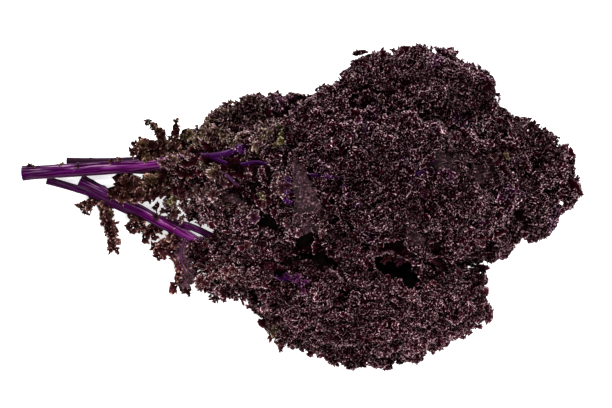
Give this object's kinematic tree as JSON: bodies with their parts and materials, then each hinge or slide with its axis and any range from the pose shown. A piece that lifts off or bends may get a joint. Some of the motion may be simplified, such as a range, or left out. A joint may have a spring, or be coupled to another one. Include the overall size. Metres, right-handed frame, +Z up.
{
  "type": "purple kale bunch",
  "caption": "Loose bunch of purple curly kale leaves, laid on its side, with the cut stalks together at one end and the frilled heads at the other.",
  "frame": {"origin": "on the surface that the bunch lies on, under the middle of its box", "axes": "+X from the cut ends of the stalks to the leaf tips, +Z up from the surface, +Y across the bunch"},
  "size_m": [0.449, 0.2602, 0.1155],
  "materials": {
    "stalk": "smooth waxy skin, purple",
    "blade": "fresh curly leaf, dark purple with paler edges",
    "leaflet": "fresh curly leaf, brownish purple"
  },
  "bodies": {
    "root": {"inner_leaf_stalk": "stalk", "centre_leaf_stalk": "stalk", "lower_leaf_stalk": "stalk", "upper_leaf_stalk": "stalk", "right_leaf_stalk": "stalk", "side_leaf_stalk": "stalk", "bottom_leaf_stalk": "stalk", "inner_leaf_blade": "blade", "centre_leaf_blade": "blade", "lower_leaf_blade": "blade", "upper_leaf_blade": "blade", "right_leaf_blade": "blade", "side_leaf_blade": "blade", "bottom_leaf_blade": "blade", "centre_leaf_leaflet_1": "leaflet", "centre_leaf_leaflet_2": "leaflet", "centre_leaf_leaflet_3": "leaflet", "centre_leaf_leaflet_4": "leaflet", "lower_leaf_leaflet_1": "leaflet", "lower_leaf_leaflet_2": "leaflet", "bottom_leaf_leaflet_1": "leaflet", "bottom_leaf_leaflet_2": "leaflet", "bottom_leaf_leaflet_3": "leaflet", "bottom_leaf_leaflet_4": "leaflet"}
  },
  "joints": []
}
